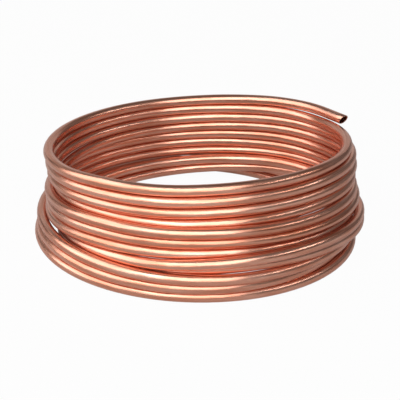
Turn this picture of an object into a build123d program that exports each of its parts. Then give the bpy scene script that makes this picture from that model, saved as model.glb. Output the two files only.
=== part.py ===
from build123d import *

import os
from math import cos, pi, sin, sqrt, tan

# Loose coil of soft copper tube, lying on its flat side. Sizes in mm.
# The origin is on the floor, under the middle of the coil's outline. +Z is up, and +X is to the
# right of someone who looks at the coil from the front, which is -Y.

# Tube
tube_od = 12.7
wall = 0.8

# Coil
coil_radius = 180.0
turn_gap = 0.25
sag = 1.0

# Free end at the top
top_end_angle = 30.0
straight_end = 38.1
end_lift = 0.6
end_dip = 2.0
cut_slant = 30.0

# How far each turn lies outside the coil's radius, in tube diameters. Each row is one turn, from
# the floor up. A row starts at the right, and goes on to the front, the left and the back.
turns = [
    (0.75, -0.15, 1.15, 1.90),
    (-0.15, 0.15, 0.95, 1.35),
    (0.45, 0.50, 0.90, 1.80),
    (1.45, -0.15, -1.00, -0.90),
    (1.15, 0.50, -0.80, -0.95),
    (0.30, -0.35, 0.10, -0.05),
    (0.70, -0.25, 0.00, -0.05),
    (0.35, -0.05, 0.10, -0.30),
    (0.20, -0.95, -0.70, -0.60),
    (0.25, -1.05, -0.20, -0.75),
    (0.10, -1.05, -0.05, -0.75),
    (-0.35, -1.20, 0.10, -0.95),
]
end_offset = 0.25

# How finely the route is worked out
stations_per_turn = 16
stations_per_quarter = stations_per_turn // 4
settled = 0.001

# Half the length of the slanted cut, along the tube
cut_depth = tube_od / 2 * tan(cut_slant * pi / 180)

os.makedirs("parts", exist_ok=True)


def blend(before, start, end, after, part):
    """A smooth curve from start to end, which leans as its neighbours do."""
    lean_start = (end - before) / 2
    lean_end = (after - start) / 2
    rise = end - start
    return (
        start
        + lean_start * part
        + (3 * rise - 2 * lean_start - lean_end) * part**2
        + (lean_start + lean_end - 2 * rise) * part**3
    )


def route_radii():
    """The route's distance from the axis at each station, from the tube's lower end up."""
    offsets = [offset for turn in turns for offset in turn]
    padded = [offsets[0]] + offsets + [end_offset, end_offset]
    radii = []
    for i in range(len(offsets)):
        for j in range(stations_per_quarter):
            offset = blend(*padded[i : i + 4], j / stations_per_quarter)
            radii.append(coil_radius + offset * tube_od)
    return radii


def resting_heights(radii):
    """The height at each station. A turn rests on those below, and sags where it spans."""
    pitch = tube_od + turn_gap
    last = len(radii) - 1
    heights = [tube_od / 2] * len(radii)
    change = pitch
    while change > settled:
        change = 0
        for i in range(last + 1):
            span = (heights[max(i - 1, 0)] + heights[min(i + 1, last)]) / 2 - sag
            height = max(tube_od / 2, span)
            for below in range(i % stations_per_turn, i, stations_per_turn):
                aside = radii[i] - radii[below]
                if abs(aside) < pitch:
                    rest = heights[below] + sqrt(pitch**2 - aside**2)
                    height = max(height, rest)
            change = max(change, abs(height - heights[i]))
            heights[i] = height
    heights[last] += end_lift
    return heights


def route_stations():
    """Points of the tube's middle line, and its direction at each."""
    radii = route_radii()
    heights = resting_heights(radii)
    step = 2 * pi / stations_per_turn
    last = len(radii) - 1
    points = []
    directions = []
    for i in range(last + 1):
        angle = top_end_angle * pi / 180 + (last - i) * step
        ahead = min(i + 1, last)
        behind = max(i - 1, 0)
        outwards = Vector(cos(angle), sin(angle))
        onwards = Vector(sin(angle), -cos(angle))
        widening = (radii[ahead] - radii[behind]) / ((ahead - behind) * step)
        rising = (heights[ahead] - heights[behind]) / ((ahead - behind) * step)
        points.append(outwards * radii[i] + Vector(0, 0, heights[i]))
        direction = onwards * radii[i] + outwards * widening + Vector(0, 0, rising)
        directions.append(direction.normalized())
    dip = Vector(0, 0, tan(end_dip * pi / 180))
    directions[last] = (directions[last] - dip).normalized()
    return points, directions


def two_arcs(start, start_direction, end, end_direction):
    """Two arcs that run smoothly into each other, from start to end."""
    chord = end - start
    lean = start_direction + end_direction
    turn = 2 * (1 - start_direction.dot(end_direction))
    along = chord.dot(lean)
    reach = (sqrt(along**2 + turn * chord.dot(chord)) - along) / turn
    middle = (start + end + (start_direction - end_direction) * reach) * 0.5
    first = Edge.make_tangent_arc(start, start_direction, middle)
    second = Edge.make_tangent_arc(middle, first % 1, end)
    return [first, second]


def wound_route():
    """The tube's middle line, with a straight stretch at its upper end."""
    points, directions = route_stations()
    edges = []
    for i in range(len(points) - 1):
        edges += two_arcs(points[i], directions[i], points[i + 1], directions[i + 1])
    tip = points[-1] + directions[-1] * (straight_end + cut_depth)
    edges.append(Edge.make_line(points[-1], tip))
    return Wire(edges)


def wound_tube(route):
    """The tube's wall, carried along the route."""
    start = Plane(origin=route @ 0, z_dir=route % 0)
    outside = Wire.make_circle(tube_od / 2, start)
    bore = Wire.make_circle(tube_od / 2 - wall, start)
    return Solid.sweep(Face(outside, [bore]), route)


def slanted_cut(tube, route):
    """The tube with its upper end cut on a slant, so the upper side of the wall is the longer."""
    facing = route % 1
    sideways = Vector(0, 0, 1).cross(facing)
    end = Plane(origin=route @ 1 - facing * cut_depth, x_dir=sideways, z_dir=facing)
    slug = end * Cylinder((tube_od + turn_gap) / 2, 2 * tube_od)
    cut = Plane(end.location * Rot(cut_slant, 0, 0))
    return tube - split(slug, bisect_by=cut, keep=Keep.TOP)


route = wound_route()
tube = slanted_cut(wound_tube(route), route)

# The origin goes under the middle of the coil's outline
middle = tube.bounding_box().center()
to_middle = Vector(-middle.X, -middle.Y, 0)
tube = tube.moved(Location(to_middle))
tube.label = "tube"
export_step(tube, "parts/tube.step")

section = pi / 4 * (tube_od**2 - (tube_od - 2 * wall) ** 2)
print("length of tube, m", round(route.length / 1000, 3))
print("volume", round(tube.volume), "section by length", round(section * (route.length - cut_depth)))
print("moved by", to_middle)
facing = route % 1
tip = route @ 1 - facing * 2 * cut_depth + to_middle
print("last full ring of the wall at, m", [round(v / 1000, 6) for v in tip])
print("straight wall behind it, mm", round(straight_end - cut_depth, 3))
print("open end faces", [round(v, 6) for v in facing])
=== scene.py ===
from math import cos, pi, radians, sin, sqrt, tan

import bpy
from mathutils import Matrix, Vector


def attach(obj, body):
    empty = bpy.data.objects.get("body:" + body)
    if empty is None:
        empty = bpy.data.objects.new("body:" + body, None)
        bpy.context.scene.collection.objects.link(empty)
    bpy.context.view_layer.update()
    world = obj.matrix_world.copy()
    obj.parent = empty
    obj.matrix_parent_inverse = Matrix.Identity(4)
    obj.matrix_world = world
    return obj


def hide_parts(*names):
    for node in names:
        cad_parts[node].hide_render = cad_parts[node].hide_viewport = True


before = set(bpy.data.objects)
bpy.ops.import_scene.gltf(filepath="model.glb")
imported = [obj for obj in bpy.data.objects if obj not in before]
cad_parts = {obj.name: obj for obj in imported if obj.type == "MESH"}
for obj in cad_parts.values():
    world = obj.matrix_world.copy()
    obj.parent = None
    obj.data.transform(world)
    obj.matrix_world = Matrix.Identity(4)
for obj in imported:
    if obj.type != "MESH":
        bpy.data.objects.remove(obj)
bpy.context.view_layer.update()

# Loose coil of soft copper tube on a pale floor. Sizes in metres, in the solid's own frame:
# +Z is up, -Y is the front, and the origin is on the floor under the middle of the coil.

MM = 0.001

# Tube
TUBE_OD = 12.7 * MM
WALL = 0.8 * MM
RIM_ROUNDING = 0.12 * MM

# Coil
COIL_RADIUS = 180.0 * MM
TURN_GAP = 0.25 * MM
SAG = 1.0 * MM

# Free end at the top
TOP_END_ANGLE = radians(30.0)
STRAIGHT_END = 38.1 * MM
END_LIFT = 0.6 * MM
END_DIP = radians(2.0)
CUT_SLANT = radians(30.0)

# How far each turn lies outside the coil's radius, in tube diameters. Each row is one turn, from
# the floor up. A row starts at the right, and goes on to the front, the left and the back.
TURNS = [
    (0.75, -0.15, 1.15, 1.90),
    (-0.15, 0.15, 0.95, 1.35),
    (0.45, 0.50, 0.90, 1.80),
    (1.45, -0.15, -1.00, -0.90),
    (1.15, 0.50, -0.80, -0.95),
    (0.30, -0.35, 0.10, -0.05),
    (0.70, -0.25, 0.00, -0.05),
    (0.35, -0.05, 0.10, -0.30),
    (0.20, -0.95, -0.70, -0.60),
    (0.25, -1.05, -0.20, -0.75),
    (0.10, -1.05, -0.05, -0.75),
    (-0.35, -1.20, 0.10, -0.95),
]
END_OFFSET = 0.25

# How finely the route is worked out
STATIONS_PER_TURN = 16
STATIONS_PER_QUARTER = STATIONS_PER_TURN // 4
SETTLED = 0.001 * MM

# Half the length of the slanted cut, along the tube
CUT_DEPTH = TUBE_OD / 2 * tan(CUT_SLANT)

# How finely the tube is drawn
KNOT_STEPS = 10
RING_SPACING = 11.5 * MM
SIDES = 28
RIM_STEPS = 2
EDGE_ANGLE = radians(50)

# Copper
DEEP_COPPER = (0.72, 0.29, 0.18, 1)
CLEAN_COPPER = (0.88, 0.50, 0.38, 1)
DULLED_COPPER = (0.55, 0.19, 0.10, 1)
MOST_DULLED = 0.55
SMOOTHEST = 0.20
ROUGHEST = 0.36
WAVE_STRENGTH = 0.6
WAVE_DEPTH = 0.4 * MM

# How fast each pattern in the copper changes: twice for round the tube, then for along it
TONE_STRETCH = (1.0, 1.0, 14.0)
DULLED_STRETCH = (0.7, 0.7, 5.0)
LINE_STRETCH = (16.0, 16.0, 6.0)
WAVE_STRETCH = (1.5, 1.5, 60.0)

# Most of a pattern's values lie between these two, and the copper is dulled above the third
NOISE_LOW = 0.3
NOISE_HIGH = 0.7
DULLED_FROM = 0.45

# Floor and studio. A share of the floor glows white where it is seen or mirrored, and the rest
# is grey and takes the shadow.
WHITE = (1, 1, 1, 1)
FLOOR_REACH = 12.0
FLOOR_GREY = (0.4, 0.4, 0.4, 1)
FLOOR_GLOW_SEEN = 0.97
FLOOR_GLOW_MIRRORED = 0.2
STUDIO_LIGHT = 0.14
STUDIO_SEEN = 1.0

# The place, width, height and power in watts of each soft box. All face the lit point.
SOFT_BOXES = {
    "left": ((-2.1, -0.6, 1.4), 3.4, 2.8, 66),
    "front": ((-0.12, -2.1, 1.4), 2.7, 2.6, 60),
    "right": ((2.0, -0.6, 1.6), 2.0, 0.15, 7),
    "back": ((-0.3, 2.6, 0.8), 4.0, 1.6, 8),
}
LIT_POINT = Vector((0, 0, 0.05))

# Camera
CAMERA_TARGET = Vector((0.416, -8.069, 43.05)) * MM
CAMERA_DISTANCE = 1333.5 * MM
CAMERA_ELEVATION = radians(23.879)
CAMERA_ROLL = radians(1.515)
CAMERA_LENS = 97.553
CAMERA_SENSOR = 36


def blend(before, start, end, after, part):
    """A smooth curve from start to end, which leans as its neighbours do."""
    lean_start = (end - before) / 2
    lean_end = (after - start) / 2
    rise = end - start
    return (
        start
        + lean_start * part
        + (3 * rise - 2 * lean_start - lean_end) * part**2
        + (lean_start + lean_end - 2 * rise) * part**3
    )


def route_radii():
    """The route's distance from the axis at each station, from the tube's lower end up."""
    offsets = [offset for turn in TURNS for offset in turn]
    padded = [offsets[0]] + offsets + [END_OFFSET, END_OFFSET]
    radii = []
    for i in range(len(offsets)):
        for j in range(STATIONS_PER_QUARTER):
            offset = blend(*padded[i : i + 4], j / STATIONS_PER_QUARTER)
            radii.append(COIL_RADIUS + offset * TUBE_OD)
    return radii


def resting_heights(radii):
    """The height at each station. A turn rests on those below, and sags where it spans."""
    pitch = TUBE_OD + TURN_GAP
    last = len(radii) - 1
    heights = [TUBE_OD / 2] * len(radii)
    change = pitch
    while change > SETTLED:
        change = 0
        for i in range(last + 1):
            span = (heights[max(i - 1, 0)] + heights[min(i + 1, last)]) / 2 - SAG
            height = max(TUBE_OD / 2, span)
            for below in range(i % STATIONS_PER_TURN, i, STATIONS_PER_TURN):
                aside = radii[i] - radii[below]
                if abs(aside) < pitch:
                    rest = heights[below] + sqrt(pitch**2 - aside**2)
                    height = max(height, rest)
            change = max(change, abs(height - heights[i]))
            heights[i] = height
    heights[last] += END_LIFT
    return heights


def route_stations():
    """Points of the tube's middle line, and its direction at each, from the lower end up."""
    radii = route_radii()
    heights = resting_heights(radii)
    step = 2 * pi / STATIONS_PER_TURN
    last = len(radii) - 1
    points = []
    directions = []
    for i in range(last + 1):
        angle = TOP_END_ANGLE + (last - i) * step
        ahead = min(i + 1, last)
        behind = max(i - 1, 0)
        outwards = Vector((cos(angle), sin(angle), 0))
        onwards = Vector((sin(angle), -cos(angle), 0))
        widening = (radii[ahead] - radii[behind]) / ((ahead - behind) * step)
        rising = (heights[ahead] - heights[behind]) / ((ahead - behind) * step)
        points.append(outwards * radii[i] + Vector((0, 0, heights[i])))
        direction = onwards * radii[i] + outwards * widening + Vector((0, 0, rising))
        directions.append(direction.normalized())
    directions[-1] = (directions[-1] - Vector((0, 0, tan(END_DIP)))).normalized()
    points.append(points[-1] + directions[-1] * (STRAIGHT_END + CUT_DEPTH))
    directions.append(directions[-1])
    return points, directions


def handle_length(chord):
    """How far a Bezier handle reaches along the arc of one station's turn over this chord."""
    turn = 2 * pi / STATIONS_PER_TURN
    return chord.length * (4 / 3) * tan(turn / 4) / (2 * sin(turn / 2))


def route_curve():
    """The tube's middle line as a Bezier curve, with a knot at each station."""
    points, directions = route_stations()
    last = len(points) - 1
    data = bpy.data.curves.new("tube_route", "CURVE")
    data.dimensions = "3D"
    data.resolution_u = KNOT_STEPS
    spline = data.splines.new("BEZIER")
    spline.bezier_points.add(last)
    for i, knot in enumerate(spline.bezier_points):
        ahead = points[min(i + 1, last)] - points[i]
        behind = points[i] - points[max(i - 1, 0)]
        knot.handle_left_type = "FREE"
        knot.handle_right_type = "FREE"
        knot.co = points[i]
        knot.handle_left = points[i] - directions[i] * handle_length(behind)
        knot.handle_right = points[i] + directions[i] * handle_length(ahead)
    curve = bpy.data.objects.new("tube_route", data)
    bpy.context.scene.collection.objects.link(curve)
    return curve


def add_node(tree, kind, **settings):
    """A new node, with properties and inputs set by name. A socket given as value is linked."""
    made = tree.nodes.new(kind)
    for name, value in settings.items():
        if hasattr(made, name):
            setattr(made, name, value)
    for name, value in settings.items():
        if not hasattr(made, name):
            fill(tree, made.inputs[name.replace("_", " ")], value)
    return made


def fill(tree, socket, value):
    """Links a socket to the value if that is a socket too, and otherwise sets it."""
    if isinstance(value, bpy.types.NodeSocket):
        tree.links.new(value, socket)
    else:
        socket.default_value = value


def joined(tree, operation, first, second):
    """The result of a Math node on two values, each a socket or a number."""
    made = add_node(tree, "ShaderNodeMath", operation=operation)
    fill(tree, made.inputs[0], first)
    fill(tree, made.inputs[1], second)
    return made.outputs["Value"]


def capture(tree, geometry, kind, name, value):
    """Keeps a field's value on a geometry: gives the geometry and the kept value."""
    made = tree.nodes.new("GeometryNodeCaptureAttribute")
    made.capture_items.new(kind, name)
    tree.links.new(geometry, made.inputs["Geometry"])
    tree.links.new(value, made.inputs[name])
    return made.outputs["Geometry"], made.outputs[name]


def wound_tube_tree():
    """Geometry Nodes that carry a round skin along a route."""
    tree = bpy.data.node_groups.new("wound_tube", "GeometryNodeTree")
    face = tree.interface
    face.new_socket("Route", in_out="INPUT", socket_type="NodeSocketGeometry")
    face.new_socket("Tube Diameter", in_out="INPUT", socket_type="NodeSocketFloat")
    face.new_socket("Ring Spacing", in_out="INPUT", socket_type="NodeSocketFloat")
    face.new_socket("Sides", in_out="INPUT", socket_type="NodeSocketInt")
    face.new_socket("Finish", in_out="INPUT", socket_type="NodeSocketMaterial")
    face.new_socket("Tube", in_out="OUTPUT", socket_type="NodeSocketGeometry")
    given = tree.nodes.new("NodeGroupInput").outputs

    rings = add_node(
        tree,
        "GeometryNodeResampleCurve",
        mode="LENGTH",
        Curve=given["Route"],
        Length=given["Ring Spacing"],
    )
    level = add_node(
        tree, "GeometryNodeSetCurveNormal", mode="Z_UP", Curve=rings.outputs["Curve"]
    )
    length = tree.nodes.new("GeometryNodeSplineParameter").outputs["Length"]
    path, along = capture(tree, level.outputs["Curve"], "FLOAT", "along", length)

    radius = add_node(
        tree, "ShaderNodeMath", operation="DIVIDE", Value=given["Tube Diameter"]
    )
    radius.inputs[1].default_value = 2
    section = add_node(
        tree,
        "GeometryNodeCurvePrimitiveCircle",
        Resolution=given["Sides"],
        Radius=radius.outputs["Value"],
    )
    place = tree.nodes.new("GeometryNodeInputPosition").outputs["Position"]
    outwards = add_node(tree, "ShaderNodeVectorMath", operation="NORMALIZE", Vector=place)
    ring, around = capture(
        tree, section.outputs["Curve"], "VECTOR", "around", outwards.outputs["Vector"]
    )
    skin = add_node(tree, "GeometryNodeCurveToMesh", Curve=path, Profile_Curve=ring)

    # The place on the drawn skin: round the tube in x and y, and along it in z
    sides = add_node(tree, "ShaderNodeSeparateXYZ", Vector=around)
    drawn = add_node(
        tree,
        "ShaderNodeCombineXYZ",
        X=sides.outputs["X"],
        Y=sides.outputs["Y"],
        Z=along,
    )
    stored = add_node(
        tree,
        "GeometryNodeStoreNamedAttribute",
        data_type="FLOAT_VECTOR",
        domain="POINT",
        Geometry=skin.outputs["Mesh"],
        Name="drawn",
        Value=drawn.outputs["Vector"],
    )
    smooth = add_node(
        tree, "GeometryNodeSetShadeSmooth", Geometry=stored.outputs["Geometry"]
    )
    whole = add_node(
        tree, "GeometryNodeRealizeInstances", Geometry=smooth.outputs["Geometry"]
    )
    finished = add_node(
        tree,
        "GeometryNodeSetMaterial",
        Geometry=whole.outputs["Geometry"],
        Material=given["Finish"],
    )
    out = tree.nodes.new("NodeGroupOutput")
    tree.links.new(finished.outputs["Geometry"], out.inputs["Tube"])
    return tree


def plain_mesh(source, name):
    """What an object shows, with its modifiers worked in, as a new mesh object."""
    shown = source.evaluated_get(bpy.context.evaluated_depsgraph_get())
    made = bpy.data.objects.new(name, bpy.data.meshes.new_from_object(shown))
    bpy.context.scene.collection.objects.link(made)
    bpy.data.objects.remove(source)
    return made


def wound_skin(finish):
    """The tube's outer skin along its route, open at both ends."""
    curve = route_curve()
    tree = wound_tube_tree()
    winding = curve.modifiers.new("winding", "NODES")
    winding.node_group = tree
    sizes = {
        "Tube Diameter": TUBE_OD,
        "Ring Spacing": RING_SPACING,
        "Sides": SIDES,
        "Finish": finish,
    }
    for item in tree.interface.items_tree:
        if item.name in sizes:
            winding[item.identifier] = sizes[item.name]
    return plain_mesh(curve, "tube_skin")


def slant_end(mesh):
    """Shears the upper end of the tube to its slanted cut, which leaves the upper side longer."""
    points, directions = route_stations()
    facing = directions[-1]
    sideways = Vector((0, 0, 1)).cross(facing).normalized()
    upright = facing.cross(sideways)
    reach = (TUBE_OD + TURN_GAP) / 2
    rim_start = -2 * RIM_ROUNDING
    for vertex in mesh.vertices:
        out = vertex.co - points[-1]
        if out.length < reach and out.dot(facing) > rim_start:
            vertex.co += facing * (out.dot(upright) * tan(CUT_SLANT) - CUT_DEPTH)


def wound_tube(finish):
    """The whole tube, with its bore and its cut ends, and its outline centred."""
    skin = wound_skin(finish)
    wall = skin.modifiers.new("wall", "SOLIDIFY")
    wall.thickness = WALL
    wall.offset = -1
    wall.use_even_offset = True
    rim = skin.modifiers.new("rim", "BEVEL")
    rim.limit_method = "ANGLE"
    rim.angle_limit = EDGE_ANGLE
    rim.width = RIM_ROUNDING
    rim.segments = RIM_STEPS
    made = plain_mesh(skin, "copper_tube")
    slant_end(made.data)

    # Corners 0 and 6 of the box lie opposite each other
    corners = [Vector(corner) for corner in made.bound_box]
    middle = (corners[0] + corners[6]) / 2
    made.data.transform(Matrix.Translation((-middle.x, -middle.y, 0)))
    made.data.set_sharp_from_angle(angle=EDGE_ANGLE)
    return made


def drawn_noise(tree, place, stretch, **settings):
    """Noise over the drawn skin, stretched by how fast it changes round the tube and along it."""
    stretched = add_node(tree, "ShaderNodeVectorMath", operation="MULTIPLY", Vector=place)
    stretched.inputs[1].default_value = stretch
    noise = add_node(tree, "ShaderNodeTexNoise", Vector=stretched.outputs["Vector"], **settings)
    return noise.outputs["Fac"]


def copper():
    """Bright drawn copper, with faint lines along the tube and soft waves in its wall."""
    material = bpy.data.materials.new("drawn_copper")
    material.use_nodes = True
    tree = material.node_tree
    shader = tree.nodes["Principled BSDF"]
    shader.inputs["Metallic"].default_value = 1.0

    place = add_node(tree, "ShaderNodeAttribute", attribute_name="drawn").outputs["Vector"]

    # Small changes of tone
    tone = drawn_noise(tree, place, TONE_STRETCH, Scale=1.2, Detail=4.0, Roughness=0.6)
    colours = add_node(tree, "ShaderNodeValToRGB", Fac=tone)
    deep, clean = colours.color_ramp.elements
    deep.position = NOISE_LOW
    deep.color = DEEP_COPPER
    clean.position = NOISE_HIGH
    clean.color = CLEAN_COPPER

    # Broad darker stretches, where the drawn skin has dulled
    broad = drawn_noise(tree, place, DULLED_STRETCH, Scale=1.0, Detail=3.0, Roughness=0.6)
    dull = add_node(
        tree,
        "ShaderNodeMapRange",
        Value=broad,
        From_Min=DULLED_FROM,
        From_Max=NOISE_HIGH,
        To_Min=0.0,
        To_Max=MOST_DULLED,
    )

    # The Mix node's two colours are its inputs 6 and 7, and the mixed colour is its output 2
    dulled = add_node(tree, "ShaderNodeMix", data_type="RGBA", blend_type="MIX")
    tree.links.new(dull.outputs["Result"], dulled.inputs["Factor"])
    tree.links.new(colours.outputs["Color"], dulled.inputs[6])
    dulled.inputs[7].default_value = DULLED_COPPER
    tree.links.new(dulled.outputs[2], shader.inputs["Base Color"])

    # Faint lines from drawing, which run along the tube
    lines = drawn_noise(tree, place, LINE_STRETCH, Scale=1.0, Detail=3.0)
    rough = add_node(
        tree,
        "ShaderNodeMapRange",
        Value=lines,
        From_Min=NOISE_LOW,
        From_Max=NOISE_HIGH,
        To_Min=SMOOTHEST,
        To_Max=ROUGHEST,
    )
    tree.links.new(rough.outputs["Result"], shader.inputs["Roughness"])

    # Soft waves from winding
    waves = drawn_noise(tree, place, WAVE_STRETCH, Scale=1.0, Detail=2.0)
    bump = add_node(tree, "ShaderNodeBump", Height=waves, Strength=WAVE_STRENGTH)
    bump.inputs["Distance"].default_value = WAVE_DEPTH
    tree.links.new(bump.outputs["Normal"], shader.inputs["Normal"])
    return material


def plain_floor():
    """A pale floor that keeps the coil's soft shadow."""
    mesh = bpy.data.meshes.new("floor")
    ways = [(-1, -1), (1, -1), (1, 1), (-1, 1)]
    corners = [(x * FLOOR_REACH, y * FLOOR_REACH, 0) for x, y in ways]
    mesh.from_pydata(corners, [], [(0, 1, 2, 3)])
    floor = bpy.data.objects.new("floor", mesh)
    bpy.context.scene.collection.objects.link(floor)
    material = bpy.data.materials.new("pale_floor")
    material.use_nodes = True
    tree = material.node_tree
    tree.nodes.clear()
    grey = add_node(tree, "ShaderNodeBsdfDiffuse", Color=FLOOR_GREY)
    white = add_node(tree, "ShaderNodeEmission", Color=WHITE, Strength=1.0)
    rays = tree.nodes.new("ShaderNodeLightPath").outputs
    mirrored = joined(tree, "MAXIMUM", rays["Is Glossy Ray"], rays["Is Transmission Ray"])
    glow_mirrored = joined(tree, "MULTIPLY", mirrored, FLOOR_GLOW_MIRRORED)
    glow_seen = joined(tree, "MULTIPLY", rays["Is Camera Ray"], FLOOR_GLOW_SEEN)
    glow = joined(tree, "MAXIMUM", glow_seen, glow_mirrored)
    mixed = tree.nodes.new("ShaderNodeMixShader")
    tree.links.new(glow, mixed.inputs[0])
    tree.links.new(grey.outputs[0], mixed.inputs[1])
    tree.links.new(white.outputs[0], mixed.inputs[2])
    out = tree.nodes.new("ShaderNodeOutputMaterial")
    tree.links.new(mixed.outputs[0], out.inputs["Surface"])
    mesh.materials.append(material)
    return floor


def soft_box(name, place, width, height, power):
    """A rectangular light that faces the lit point."""
    data = bpy.data.lights.new(name, "AREA")
    data.shape = "RECTANGLE"
    data.size = width
    data.size_y = height
    data.energy = power
    lamp = bpy.data.objects.new(name, data)
    lamp.location = place
    lamp.rotation_mode = "QUATERNION"
    lamp.rotation_quaternion = (LIT_POINT - Vector(place)).to_track_quat("-Z", "Y")
    bpy.context.scene.collection.objects.link(lamp)


def surroundings():
    """A dim even studio, which looks white behind the floor's far edge."""
    world = bpy.data.worlds.new("studio")
    bpy.context.scene.world = world
    world.use_nodes = True
    tree = world.node_tree
    back = tree.nodes["Background"]
    back.inputs["Color"].default_value = WHITE
    rays = tree.nodes.new("ShaderNodeLightPath").outputs
    level = add_node(
        tree,
        "ShaderNodeMapRange",
        Value=rays["Is Camera Ray"],
        To_Min=STUDIO_LIGHT,
        To_Max=STUDIO_SEEN,
    )
    tree.links.new(level.outputs["Result"], back.inputs["Strength"])


def front_camera():
    """A camera that stands where the photograph was taken from."""
    data = bpy.data.cameras.new("camera")
    data.lens = CAMERA_LENS
    data.sensor_width = CAMERA_SENSOR
    camera = bpy.data.objects.new("camera", data)
    back = Vector((0, -cos(CAMERA_ELEVATION), sin(CAMERA_ELEVATION)))
    level = Vector((1, 0, 0))
    upright = back.cross(level)
    right = level * cos(CAMERA_ROLL) + upright * sin(CAMERA_ROLL)
    up = back.cross(right)
    turn = Matrix((right, up, back)).transposed()
    camera.matrix_world = Matrix.Translation(
        CAMERA_TARGET + back * CAMERA_DISTANCE
    ) @ turn.to_4x4()
    bpy.context.scene.collection.objects.link(camera)
    bpy.context.scene.camera = camera


tube = wound_tube(copper())
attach(tube, "root")
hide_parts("tube")

plain_floor()
surroundings()
for name, box in SOFT_BOXES.items():
    soft_box(name, *box)
front_camera()

scene = bpy.context.scene
scene.view_settings.view_transform = "Standard"
